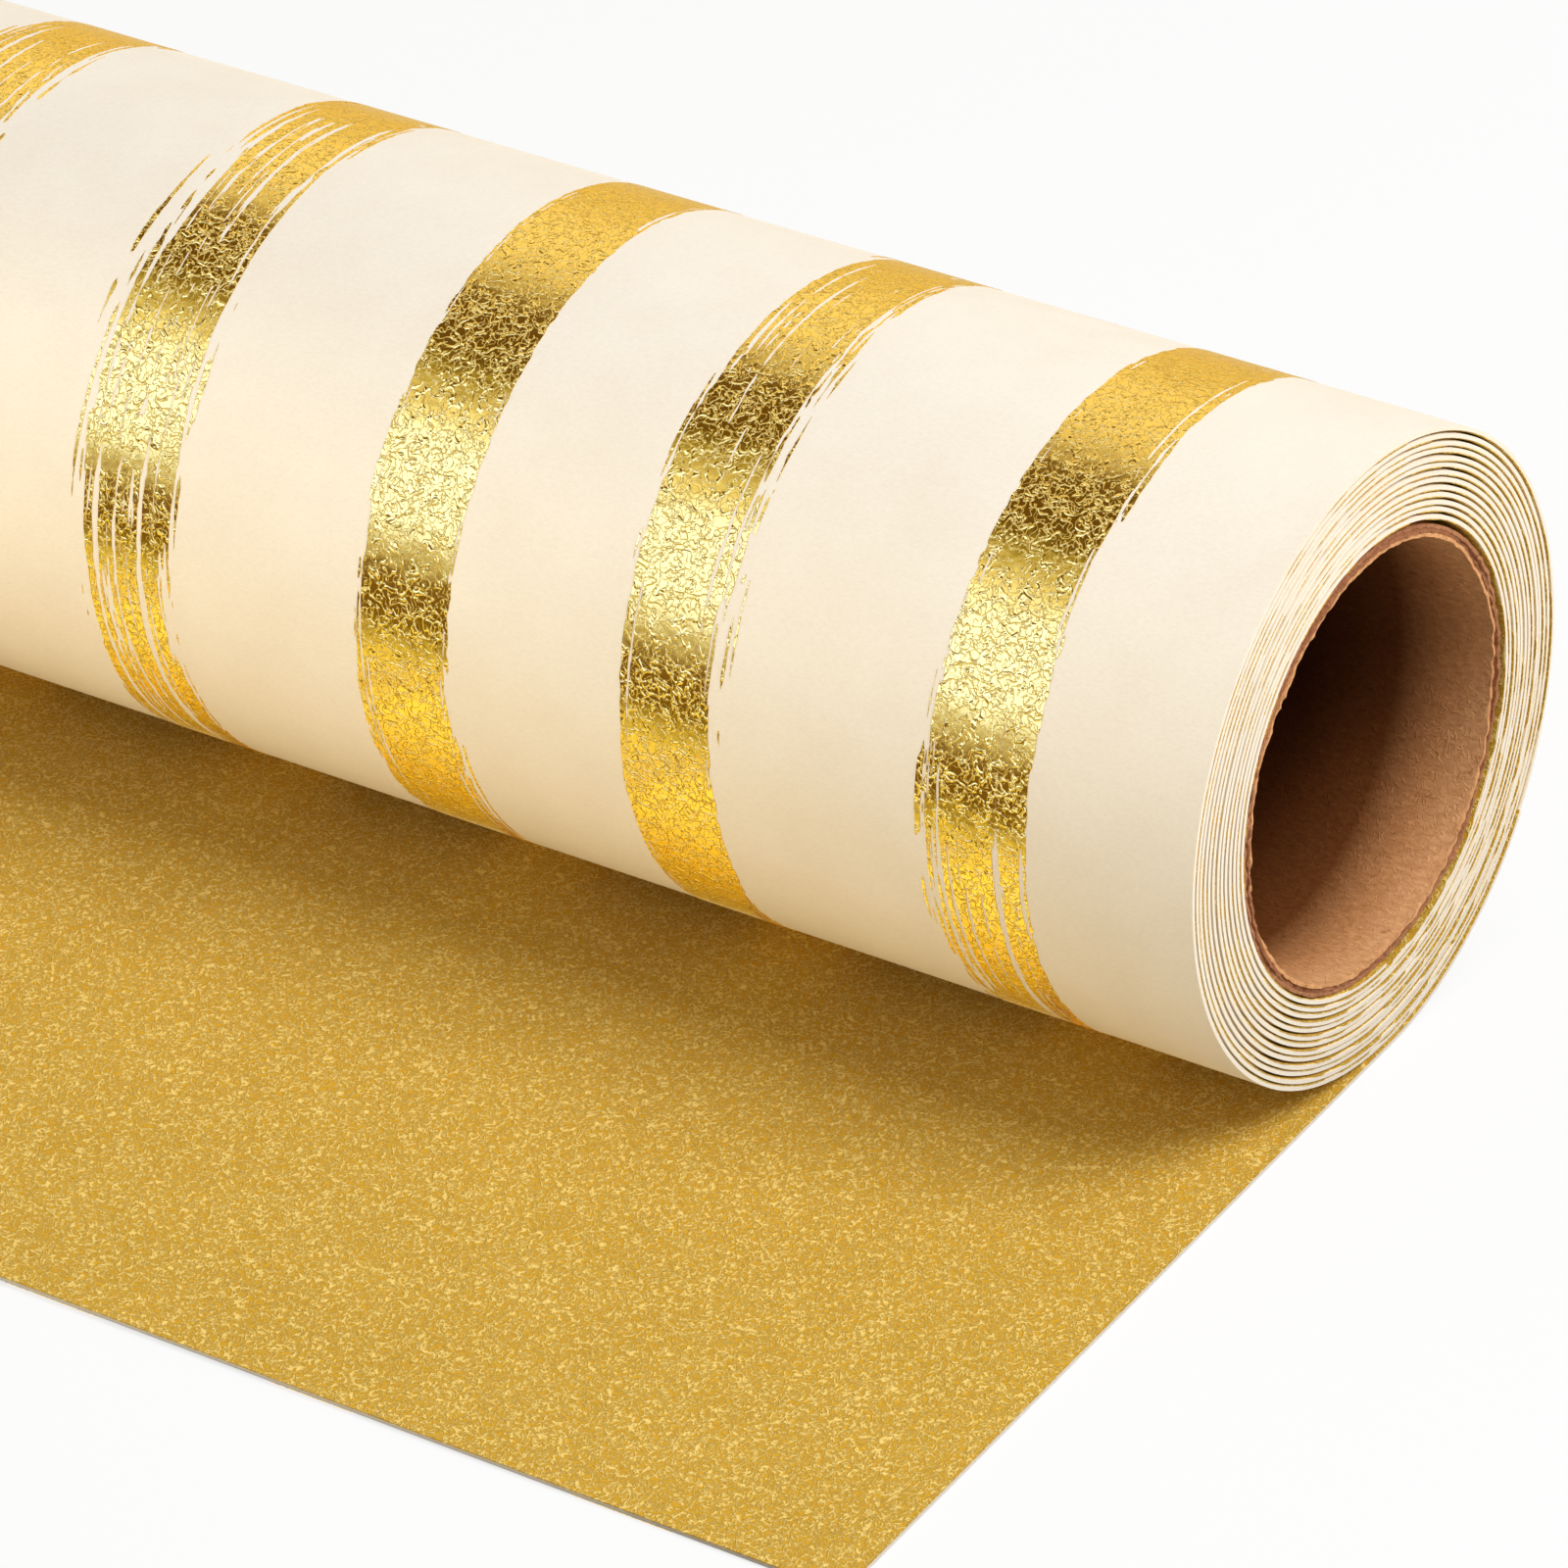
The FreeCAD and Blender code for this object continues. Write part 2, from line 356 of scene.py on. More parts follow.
def kraft_material(name, light, dark):
    """Raw brown board: short fibres and flecks, with painted shade that makes it darker the further it is from the
    roll's ends.
    """
    material, nodes = new_material(name)
    fibre = nodes.noise(nodes.place((2.4, 1, 1)), 0.32, detail=4, roughness=0.65)
    worms = worm_lines(nodes, 0.9, 0.05, distortion=1.2)
    fleck = nodes.noise(nodes.place(), 0.8, detail=3, distortion=0.8)
    cloud = nodes.noise(nodes.place(), 12.0, detail=2)
    tone = nodes.ramp(fibre, [(0.28, dark), (0.68, light)])
    strands = nodes.ramp(worms, [(0.0, (1, 1, 1)), (1.0, (1.12, 1.12, 1.10))])
    spots = nodes.ramp(fleck, [(0.26, (0.72, 0.66, 0.60)), (0.36, (1, 1, 1))])
    shade = nodes.ramp(cloud, [(0.3, (0.90, 0.89, 0.87)), (0.7, (1, 1, 1))])
    colour = nodes.mix(1.0, nodes.mix(1.0, tone, spots, "MULTIPLY"), shade, "MULTIPLY")
    colour = nodes.mix(1.0, colour, strands, "MULTIPLY")
    # painted shade: the colour darkens with distance in from the nearer end, standing in for less light deep in
    # the bore
    x = nodes.add("ShaderNodeSeparateXYZ", {"Vector": nodes.place()}).outputs["X"]
    depth = nodes.math("SUBTRACT", HALF_LENGTH / MM, nodes.math("ABSOLUTE", x))
    painted_shade = nodes.ramp(nodes.math("DIVIDE", depth, DEEP_INSIDE), KRAFT_PAINTED_SHADE)
    colour = nodes.mix(1.0, colour, painted_shade, "MULTIPLY")
    relief = nodes.bump(nodes.math("ADD", fibre, worms), 0.05, 0.7)
    finish_material(
        nodes, Base_Color=colour, Roughness=0.90, Specular_IOR_Level=0.15, Normal=relief
    )
    return material


def glue_material():
    material, nodes = new_material("glue")
    cloud = nodes.noise(nodes.place(), 2.0, detail=3)
    tone = nodes.ramp(cloud, [(0.3, (0.78, 0.74, 0.62)), (0.7, (0.86, 0.83, 0.74))])
    relief = nodes.bump(cloud, 0.03, 0.6)
    finish_material(nodes, Base_Color=tone, Roughness=0.45, Normal=relief)
    return material


CREAM = cream_paper_material()
FOIL = gold_foil_material()
BACKING = gold_backing_material()
KRAFT_LINER = kraft_material("kraft_liner", (0.84, 0.450, 0.215), (0.58, 0.265, 0.105))
KRAFT_MIDDLE = kraft_material("kraft_middle", (0.46, 0.200, 0.100), (0.24, 0.090, 0.042))
KRAFT_OUTER = kraft_material("kraft_outer", (0.54, 0.255, 0.130), (0.32, 0.135, 0.065))
GLUE = glue_material()


# ---------------------------------------------------------------- the wound web

STEPS_PER_TURN = 240
END_UNEVEN = 0.14 * MM  # how far turns stand back from the roll's ends
GOLD_PROUD = 0.03 * MM  # how far the gold's frayed edge stands out from the paper's
GOLD_BREAKS = 0.16 * MM  # how far it stands back where it has broken away
end_noise = Noise(21)
gold_noise = Noise(22)


def wound_layers():
    """The wound web as a paper strip and its gold backing."""
    steps = int(TURNS * STEPS_PER_TURN)
    angle = np.linspace(LEAD_SWEEP, TURNS * TURN, steps)
    radius = wound_radius(angle)
    face = on_circle(radius, angle)
    between = on_circle(radius - PAPER_T, angle)
    back = on_circle(radius - WEB_T, angle)
    near = HALF_LENGTH - END_UNEVEN * (0.5 + 0.5 * end_noise(angle / TURN * 2.7))
    far = -HALF_LENGTH + END_UNEVEN * (0.5 + 0.5 * end_noise(angle / TURN * 2.7, 40.0))
    shares = [0, 0.01, *np.linspace(0.1, 0.9, 9), 0.99, 1]
    rows = [far + (near - far) * share for share in shares]
    paper = mesh_piece("wound_web_paper", *shell(face, between, rows), CREAM, "cream_paper")
    inset = GOLD_BREAKS * smoothstep(0.0, 0.4, gold_noise(angle / TURN * 75)) - GOLD_PROUD
    backing_rows = [row + inset * (1 - 2 * share) for row, share in zip(rows, shares)]
    gold = mesh_piece(
        "wound_web_backing", *shell(between, back, backing_rows), BACKING, "gold_backing"
    )
    for piece, node in ((paper, "wound_paper"), (gold, "wound_gold_backing")):
        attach(piece, "roll")
        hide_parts(node)


# ---------------------------------------------------------------- the laid end and the lead-off

EDGE_LIFT = 0.30 * MM  # the free edge lies a little off the table here and there
lift_noise = Noise(31)


def laid_lift(x, y):
    """How far the laid sheet stands off the table."""
    free = smoothstep(0.35 * LAID_LENGTH, LAID_LENGTH, -y)
    return EDGE_LIFT * free * np.clip(0.5 + 0.6 * lift_noise(x / 0.11, 3.0), 0, 1)


def laid_layers():
    """The web on the table and up to where it joins the wound roll, as paper and gold backing."""
    flat = np.linspace(-LAID_LENGTH, 0, 70)[:-1]
    rising = np.linspace(0, LEAD_SWEEP * LEAD_R, 26)
    face, out = leading_path(np.concatenate([flat, rising]))
    across = np.linspace(-HALF_LENGTH, HALF_LENGTH, 61)
    layers = (
        ("laid_web_paper", 0.0, PAPER_T, CREAM, "cream_paper", "paper"),
        ("laid_web_backing", PAPER_T, WEB_T, BACKING, "gold_backing", "gold_backing"),
    )
    pieces = []
    for name, outside, inside, material, slot, node in layers:
        rows = [np.full(len(face), x) for x in across]
        vertices, faces = shell(face - out * outside, face - out * inside, rows)
        vertices[:, 2] += laid_lift(vertices[:, 0], vertices[:, 1])
        piece = mesh_piece(name, vertices, faces, material, slot)
        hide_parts(f"laid_sheet_{node}", f"lead_off_{node}")
        piece.visible_glossy = False
        pieces.append(piece)
    return pieces


def follow_web(piece):
    """Bake a piece of the laid end's placement into its mesh."""
    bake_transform(piece)


# ---------------------------------------------------------------- foil brush strokes

# A stroke is described by where it is dry, in degrees above the roll's front line and millimetres
# from the stroke's middle. A slit is bare paper inside the stroke, a hair is foil outside it:
# (place, width, highest angle, lowest angle). The stroke's own width is a share of its stripe's, and the
# places narrow with it.
STYLES = [
    {
        "width": 0.92,
        "dry": [(16, -60, 0.36)],
        "slits": [(4.45, 0.24, 118, 62), (1.9, 0.18, 36, 6), (1.95, 0.90, 14, -80), (-2.6, 0.32, 12, -70),
                  (-3.9, 0.34, 20, -60), (-1.3, 0.28, 8, -60), (-3.3, 0.26, 10, -50), (0.4, 0.22, 2, -60),
                  (3.4, 0.20, -5, -70)],
        "hairs": [(5.35, 0.30, 118, 58), (-5.5, 0.30, 34, -20), (-5.9, 0.22, 22, -5)],
    },
    {
        "width": 0.84,
        "dry": [(125, 60, 0.20)],
        "slits": [(-1.5, 0.26, 112, 52), (-3.2, 0.26, 118, 72), (-2.4, 0.20, 96, 66), (3.3, 0.24, 66, 18),
                  (-4.1, 0.22, 40, 0), (0.6, 0.18, 70, 50), (-4.2, 0.24, -10, -60), (-0.4, 0.18, 104, 82)],
        "hairs": [(5.7, 0.34, 118, 66), (6.3, 0.34, 84, 44), (6.6, 0.30, 50, 2), (5.5, 0.30, 60, 24),
                  (6.0, 0.24, 70, 36), (-5.5, 0.24, 75, 30), (7.0, 0.22, 40, 20)],
    },
    {
        "width": 0.90,
        "dry": [],
        "slits": [(-4.2, 0.26, 8, -55), (4.1, 0.28, 8, -70), (-2.8, 0.18, -22, -60)],
        "hairs": [(5.4, 0.20, 0, -50)],
    },
    {
        "width": 0.92,
        "dry": [(116, 22, 0.36), (30, -60, 0.36)],
        "slits": [(-3.3, 0.85, 30, -80), (1.7, 0.75, 34, -80), (-0.8, 0.40, 28, -75), (-2.2, 0.22, 110, 62),
                  (-0.6, 0.22, 100, 58), (0.9, 0.20, 90, 44), (-3.9, 0.24, 116, 84), (3.3, 0.24, 66, 10),
                  (-3.0, 0.26, 84, 24), (-1.4, 0.22, 74, 20), (0.2, 0.26, 62, 22), (2.2, 0.24, 80, 30),
                  (2.6, 0.22, 10, -60), (-1.6, 0.22, 20, -60), (0.5, 0.24, 12, -70)],
        "hairs": [(-6.3, 0.32, 88, 60), (-6.7, 0.26, 74, 44), (-5.7, 0.28, 70, 10), (5.5, 0.34, 54, 8),
                  (5.9, 0.26, 60, 30), (5.5, 0.26, 114, 92)],
    },
    {
        "width": 0.90,
        "dry": [(125, 40, 0.30), (20, -60, 0.28)],
        "slits": [(-2.9, 0.38, 118, 60), (-1.0, 0.34, 112, 66), (1.1, 0.28, 104, 60), (2.9, 0.26, 110, 50),
                  (-3.9, 0.28, 60, 10), (0.2, 0.40, 20, -70)],
        "hairs": [(-5.8, 0.34, 112, 66), (5.6, 0.30, 106, 60), (-6.3, 0.26, 60, 40)],
    },
]
STYLE_COUNT = len(STYLES)
VISIBLE_ANGLES = (118, -70)  # the stretch that a style describes; the rest of the stroke is drawn at random
STROKE_MARGIN = 7.6 * MM  # half the width of the strip that a stroke and its hairs can reach
RIM_LINE = 0.30 * MM  # a fine bare line runs this far inside a stroke's edges, on and off
RIM_LINE_WIDTH = 0.16 * MM
FIELD_ACROSS = 0.12 * MM
FIELD_ALONG = 0.45 * MM


class Stroke:
    """One foil stroke: a field over (across, along) the web that is positive where there is foil."""

    def __init__(self, index, node):
        low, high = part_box(node)
        self.middle = (low.x + high.x) / 2
        self.style = STYLES[index % STYLE_COUNT]
        share = self.style["width"]
        self.half_width = share * (high.x - low.x) / 2
        self.random = np.random.default_rng(100 + index)
        self.edge, self.streak, self.wander, self.dash = (
            Noise(200 + 4 * index + k) for k in range(4)
        )
        self.slits, self.hairs = (
            [(share * u * MM, w * MM, *self.span(a, b)) for u, w, a, b in self.style[kind]]
            for kind in ("slits", "hairs")
        )
        self.dry = [(*self.span(a, b), amount) for a, b, amount in self.style["dry"]]
        self.draw_unseen_stretch()
        self.rims = [side * (self.half_width - RIM_LINE) for side in (-1, 1)]

    @staticmethod
    def span(high_angle, low_angle):
        """Lengths along the web between two angles above the roll's front line."""
        return tuple((FRONT - math.radians(a)) * LEAD_R for a in (high_angle, low_angle))

    def draw_unseen_stretch(self):
        """Random slits, hairs and dry stretches beyond the angles that the style describes."""
        seen_low, seen_high = self.span(*VISIBLE_ANGLES)
        stretches = [(-LAID_LENGTH, seen_low), (seen_high, (TURN + LEAD_SWEEP) * LEAD_R)]
        wetness = len(self.style["slits"])
        for low, high in stretches:
            for _ in range(wetness):
                start = self.random.uniform(low, high)
                end = min(high, start + self.random.uniform(12, 45) * MM)
                place = self.random.uniform(-0.85, 0.85) * self.half_width
                self.slits.append((place, self.random.uniform(0.22, 0.5) * MM, start, end))
            for _ in range(len(self.style["hairs"])):
                start = self.random.uniform(low, high)
                end = min(high, start + self.random.uniform(6, 25) * MM)
                place = self.random.choice((-1, 1)) * self.random.uniform(1.06, 1.3) * self.half_width
                self.hairs.append((place, self.random.uniform(0.25, 0.45) * MM, start, end))

    @staticmethod
    def taper(along, start, end):
        """1 inside a span of the web, falling to 0 just past its ends."""
        fade = min(7 * MM, 0.35 * (end - start))
        return smoothstep(start, start + fade, along) * (1 - smoothstep(end - fade, end, along))

    def field(self, across, along):
        """Distance inside the foil's edge, in metres, roughly; negative on bare paper."""
        ragged = 0.13 * MM * self.edge(across / (0.20 * MM), along / (0.8 * MM))
        ragged = ragged + 0.07 * MM * self.edge(across / (0.9 * MM) + 60, along / (5 * MM))
        sway = 0.30 * MM * self.wander(0.0, along / (34 * MM))
        foil = self.half_width + sway * np.sign(across) - np.abs(across) + ragged
        streak = self.streak(across / (0.27 * MM), along / (13 * MM))
        streak = 0.74 * streak + 0.26 * self.streak(across / (0.16 * MM) + 90, along / (1.8 * MM))
        rim = smoothstep(0.55, 1.0, np.abs(across) / self.half_width)
        for start, end, amount in self.dry:
            dryness = self.taper(along, start, end) * (amount + 0.35 * rim)
            holes = (1 - 1.45 * dryness + streak) * 0.5 * MM
            foil = np.minimum(foil, np.where(dryness > 0.01, holes, foil))
        rim_holes = (1.12 - 0.75 * rim + streak) * 0.5 * MM
        foil = np.minimum(foil, rim_holes)
        for place in self.rims:
            open_by = smoothstep(0.0, 0.4, self.dash(place / MM * 9, along / (4 * MM)))
            clear = np.abs(across - place - sway * np.sign(place)) - RIM_LINE_WIDTH / 2 * open_by
            foil = np.where(open_by > 0.05, np.minimum(foil, clear + 0.4 * ragged), foil)
        for place, width, start, end in self.slits:
            open_by = self.taper(along, start, end)
            open_by = open_by * (0.75 + 0.5 * self.dash(place / MM * 3, along / (5 * MM)))
            middle = place + 0.30 * MM * self.wander(place / MM * 3, along / (18 * MM))
            clear = np.abs(across - middle) - width / 2 * open_by + 0.6 * ragged
            foil = np.where(open_by > 0.05, np.minimum(foil, clear), foil)
        for place, width, start, end in self.hairs:
            there = self.taper(along, start, end)
            there = there * smoothstep(-0.40, 0.10, self.dash(place / MM * 7, along / (2.4 * MM)))
            middle = place + 0.25 * MM * self.wander(place / MM * 5, along / (20 * MM))
            hair = (width / 2 + 0.5 * ragged) * there - np.abs(across - middle)
            foil = np.maximum(foil, hair)
        outside = np.abs(across) > STROKE_MARGIN - FIELD_ACROSS
        return np.where(outside, -1.0 * MM, foil)


def marching_faces():
    """For each of the 16 ways that a cell's corners can be inside, the polygons of its inside part.
    Corners are 0 to 3 round the cell and 4 to 7 the crossings of the edges that follow them."""
    cases = []
    for case in range(16):
        inside = [bool(case >> corner & 1) for corner in range(4)]
        if case in (5, 10):
            lone = [corner for corner in range(4) if inside[corner]]
            cases.append([(c, 4 + c, 4 + (c - 1) % 4) for c in lone])
            continue
        outline = []
        for corner in range(4):
            if inside[corner]:
                outline.append(corner)
            if inside[corner] != inside[(corner + 1) % 4]:
                outline.append(4 + corner)
        cases.append([tuple(outline)] if outline else [])
    return cases


CELL_FACES = marching_faces()
WHOLE = 15  # the case of a cell with all its corners inside


def outline_mesh(across, along, field):
    """The part of a grid where field > 0, with edges on its zero line: points (across, along), faces."""
    rows, columns = field.shape
    inside = field > 0
    corner_id = np.arange(rows * columns).reshape(rows, columns)
    u, v = np.meshgrid(across, along)
    points = [np.stack([u.ravel(), v.ravel()], axis=1)]

    def crossings(a, b, first):
        share = np.clip(field[a] / np.where(field[a] == field[b], 1, field[a] - field[b]), 0.08, 0.92)
        points.append(
            np.stack([(u[a] + (u[b] - u[a]) * share).ravel(), (v[a] + (v[b] - v[a]) * share).ravel()], 1)
        )
        return first + np.arange(share.size).reshape(share.shape)

    every, but_last, but_first = slice(None), slice(None, -1), slice(1, None)
    total = rows * columns
    flat_id = crossings((every, but_last), (every, but_first), total)
    total += flat_id.size
    steep_id = crossings((but_last, every), (but_first, every), total)
    cell = np.stack([
        corner_id[:-1, :-1], corner_id[:-1, 1:], corner_id[1:, 1:], corner_id[1:, :-1],
        flat_id[:-1, :], steep_id[:, 1:], flat_id[1:, :], steep_id[:, :-1],
    ], axis=-1)
    case = sum(
        part.astype(int) << bit
        for bit, part in enumerate((inside[:-1, :-1], inside[:-1, 1:], inside[1:, 1:], inside[1:, :-1]))
    )
    faces = whole_cells(case == WHOLE)
    for number in range(1, WHOLE):
        chosen = cell[case == number]
        for outline in CELL_FACES[number]:
            faces += chosen[:, list(outline)].tolist()
    return np.concatenate(points), faces


def whole_cells(whole):
    """One face for each unbroken run of whole cells along a row, with every corner on it that a face of
    another row uses."""
    rows, columns = whole.shape
    kept = np.ones((rows + 1, columns + 1), bool)
    kept[1:-1, 1:-1] = ~(whole[:-1, :-1] & whole[:-1, 1:] & whole[1:, :-1] & whole[1:, 1:])
    faces = []
    for row in range(rows):
        ends = np.flatnonzero(np.diff(np.concatenate([[False], whole[row], [False]]).astype(int)))
        for first, last in ends.reshape(-1, 2):
            near, far = (
                first + np.flatnonzero(kept[line, first:last + 1]) + line * (columns + 1)
                for line in (row, row + 1)
            )
            faces.append(near.tolist() + far[::-1].tolist())
    return faces


def thicken(faces, count):
    """Close a layer of faces into a slab: the same faces above, below (ids + count), and a rim."""
    edges = np.array([(f[i], f[(i + 1) % len(f)]) for f in faces for i in range(len(f))])
    low, high = edges.min(1), edges.max(1)
    _, first, uses = np.unique(low * (2 * count) + high, return_index=True, return_counts=True)
    rim = edges[first[uses == 1]]
    below = [[i + count for i in reversed(f)] for f in faces]
    sides = np.stack([rim[:, 1], rim[:, 0], rim[:, 0] + count, rim[:, 1] + count], axis=1)
    return faces + below + sides.tolist()


def drop_unused(points, faces):
    """Only the points that faces use, renumbered."""
    used = np.unique(np.concatenate([np.asarray(f) for f in faces]))
    renumber = np.zeros(len(points), int)
    renumber[used] = np.arange(len(used))
    return points[used], [renumber[f].tolist() for f in faces]


def stroke_mesh(stroke, start, end, step_across, step_along, surface):
    """A stroke's foil between two lengths along the web. surface gives, for lengths along the web,
    the paper's (y, z) and its outward direction."""
    across = np.arange(-STROKE_MARGIN, STROKE_MARGIN + step_across, step_across)
    along = np.linspace(start, end, max(2, round((end - start) / step_along)))
    u, v = np.meshgrid(across, along)
    points, faces = outline_mesh(across, along, stroke.field(u, v))
    points, faces = drop_unused(points, faces)
    place, out = surface(points[:, 1])
    layers = []
    for height in (FOIL_T, 0.0):
        layer = np.zeros((len(points), 3))
        layer[:, 0] = stroke.middle + points[:, 0]
        layer[:, 1:] = place + out * height
        layers.append(layer)
    return np.concatenate(layers), thicken(faces, len(points))


def wound_surface(length):
    """The outermost turn's outside, for lengths along the web from the nip."""
    angle = length / LEAD_R
    return on_circle(wound_radius(angle), angle), np.stack([np.sin(angle), -np.cos(angle)], axis=-1)


def foil_strokes():
    """The foil on the outermost turn, a piece for each stripe, and on the laid end, all in one."""
    laid_vertices, laid_faces, count = [], [], 0
    seam = LEAD_SWEEP * LEAD_R
    nodes = sorted(n for n in frame["nodes"] if n.startswith("foil_stripe_"))
    for index, node in enumerate(nodes):
        stroke = Stroke(index, node)
        full_turn = seam + TURN * LEAD_R
        vertices, faces = stroke_mesh(
            stroke, seam, full_turn, FIELD_ACROSS, FIELD_ALONG, wound_surface
        )
        piece = mesh_piece(f"foil_stroke_{index + 1:02d}", vertices, faces, FOIL, "gold_foil")
        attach(piece, "roll")
        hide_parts(node)
        vertices, faces = stroke_mesh(
            stroke, -LAID_LENGTH, seam, 2 * FIELD_ACROSS, 2 * FIELD_ALONG, leading_path
        )
        laid_vertices.append(vertices)
        laid_faces += [[i + count for i in face] for face in faces]
        count += len(vertices)
    vertices = np.concatenate(laid_vertices)
    vertices[:, 2] += laid_lift(vertices[:, 0], vertices[:, 1])
    return mesh_piece("laid_web_foil", vertices, laid_faces, FOIL, "gold_foil")


# ---------------------------------------------------------------- the core

RIM_DEPTH = 0.50 * MM  # how unevenly the core is cut
RIM_FRAY = 0.12 * MM
RIM_REACH = 0.25 * MM  # how quickly that dies away inwards
PLY_GAP = 0.01 * MM
CORE_STEPS = 360
CORE_ROW_STEP = 12 * MM


def core_rows():
    """Distances of a ply's rows of points from its end, up to its middle."""
    near = np.array([0, 0.12, 0.3, 0.7, 1.5, 4.0]) * MM
    return np.concatenate([near, np.arange(CORE_ROW_STEP, HALF_LENGTH, CORE_ROW_STEP)])


def core_ply(node, name, inner, outer, material, seed):
    """One ply of the core, with a torn rim at each end."""
    rim, fray = Noise(seed), Noise(seed + 1)
    angle = np.arange(CORE_STEPS) / CORE_STEPS * TURN
    there_and_back = 1 - np.abs(angle / math.pi - 1)
    xs, outers, inners = [], [], []
    rows = core_rows()
    for side, depth in [(1, d) for d in rows] + [(-1, d) for d in rows[::-1]]:
        fade = math.exp(-depth / RIM_REACH)
        cut = 0.5 + 0.35 * rim(there_and_back * 9, side) + 0.25 * fray(there_and_back * 120, 3 * side)
        xs.append(side * (HALF_LENGTH - depth - RIM_DEPTH * cut * fade))
        loose = RIM_FRAY * fade * fray(there_and_back * 150, depth / MM * 7 + 11 * side)
        outers.append(outer - PLY_GAP - np.clip(loose, 0, None))
        inners.append(inner + np.clip(-loose, 0, None))
    count = len(xs)
    vertices = [
        np.column_stack([x, on_circle(radius, angle)])
        for radii in (outers, inners) for x, radius in zip(xs, radii)
    ]
    faces = []
    for i in range(CORE_STEPS):
        j = (i + 1) % CORE_STEPS
        outline = [*range(count), *range(2 * count - 1, count - 1, -1)]
        for a, b in zip(outline, outline[1:] + outline[:1]):
            a, b = a * CORE_STEPS, b * CORE_STEPS
            faces.append((a + i, b + i, b + j, a + j))
    piece = mesh_piece(name, np.concatenate(vertices), faces, material, "kraft_board")
    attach(piece, "roll")
    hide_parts(node)


GLUE_FROM_END = 9 * MM
glue_noise = Noise(61)


def glue_bead():
    """The glue that holds the first turn on the core, stopping short of the ends."""
    low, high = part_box("core_glue_strip")
    middle = math.atan2((low.y + high.y) / 2, AXIS_Z - (low.z + high.z) / 2)
    half_sweep = math.asin((high.y - low.y) / 2 / CORE_R)
    angle = np.linspace(middle - half_sweep, middle + half_sweep, 25)
    inside = on_circle(CORE_R, angle)
    outside = on_circle(CORE_R + CORE_GAP * (0.8 + 0.15 * glue_noise(angle * 9)), angle)
    half = HALF_LENGTH - GLUE_FROM_END
    rows = [np.full(len(angle), x) for x in np.linspace(-half, half, 25)]
    piece = mesh_piece("glue_bead", *shell(outside, inside, rows), GLUE, "glue")
    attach(piece, "roll")
    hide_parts("core_glue_strip")


def core():
    """The three plies of the kraft core, and the glue on the outermost."""
    inner = BORE_R
    plies = (
        ("core_inner_ply", "core_liner", KRAFT_LINER),
        ("core_middle_ply", "core_middle", KRAFT_MIDDLE),
        ("core_outer_ply", "core_wrap", KRAFT_OUTER),
    )
    for index, (node, name, material) in enumerate(plies):
        outer = outer_radius(node)
        core_ply(node, name, inner, outer, material, 50 + 2 * index)
        inner = outer
    glue_bead()


# ---------------------------------------------------------------- stage, light and camera

FLOOR_HALF = 12.0
FLOOR_EXTENT = (-FLOOR_HALF, FLOOR_HALF, -FLOOR_HALF, FLOOR_HALF)
FLOOR_DROP = 0.02 * MM
# Cards that lie on the table in front of the sheet, off the near end of the roll and behind it, with how
# pale they are and how much they glow
CARDS = (
    ("front_card", (-1.0, HALF_LENGTH - 0.02, -1.5, -LAID_LENGTH - 4 * MM), 0.5, 3.3),
    ("end_card", (HALF_LENGTH + 0.02, 1.2, -0.6, 0.6), 0.3, 0.62),
    ("back_card", (-1.0, HALF_LENGTH - 0.02, 0.06, 1.5), 0.5, 1.8),
)
CARD_COLOUR = (1.0, 0.90, 0.69, 1)
KEY_DIRECTION = (0.60, 0.08, 0.80)
KEY_DISTANCE = 1.2
KEY_SIZE = 0.60
KEY_POWER = 13.8


def floor_plane(name, drop, material, extent=FLOOR_EXTENT):
    """A plain rectangle under the object, which is not part of it. Extent is its x, then its y."""
    mesh = bpy.data.meshes.new(name)
    x0, x1, y0, y1 = extent
    corners = [(x0, y0), (x1, y0), (x1, y1), (x0, y1)]
    mesh.from_pydata([(x, y, -drop) for x, y in corners], [], [(0, 1, 2, 3)])
    mesh.materials.append(material)
    plane = bpy.data.objects.new(name, mesh)
    bpy.context.scene.collection.objects.link(plane)
    return plane


def stage():
    """A white floor for the camera, and a warmer one in its place that light bounces off."""
    white, nodes = new_material("floor_white")
    finish_material(
        nodes, Base_Color=(0.20, 0.20, 0.20, 1), Roughness=1.0, Specular_IOR_Level=0.0,
        Emission_Color=(1, 1, 1, 1), Emission_Strength=0.768,
    )
    seen = floor_plane("floor", FLOOR_DROP, white)
    seen.visible_diffuse = False
    seen.visible_glossy = False
    seen.visible_shadow = False
    warm, nodes = new_material("floor_bounce")
    finish_material(nodes, Base_Color=(0.28, 0.26, 0.23, 1), Roughness=1.0, Specular_IOR_Level=0.0)
    bounce = floor_plane("floor_bounce", 3 * FLOOR_DROP, warm)
    unseen = [bounce]
    for name, extent, tone, glow in CARDS:
        card, nodes = new_material(name)
        finish_material(
            nodes, Base_Color=(tone, tone, tone, 1), Roughness=1.0, Specular_IOR_Level=0.0,
            Emission_Color=CARD_COLOUR, Emission_Strength=glow,
        )
        unseen.append(floor_plane(name, 2 * FLOOR_DROP, card, extent))
    for plane in unseen:
        plane.visible_camera = False
        plane.visible_glossy = False


def key_light():
    """A large soft box high over the near end of the roll."""
    data = bpy.data.lights.new("key_softbox", "AREA")
    data.shape = "SQUARE"
    data.size = KEY_SIZE
    data.energy = KEY_POWER
    lamp = bpy.data.objects.new("key_softbox", data)
    bpy.context.scene.collection.objects.link(lamp)
    target = Vector((HALF_LENGTH, 0, AXIS_Z))
    lamp.location = target + KEY_DISTANCE * Vector(KEY_DIRECTION).normalized()
    lamp.rotation_euler = (target - lamp.location).to_track_quat("-Z", "Y").to_euler()
    lamp.visible_glossy = False


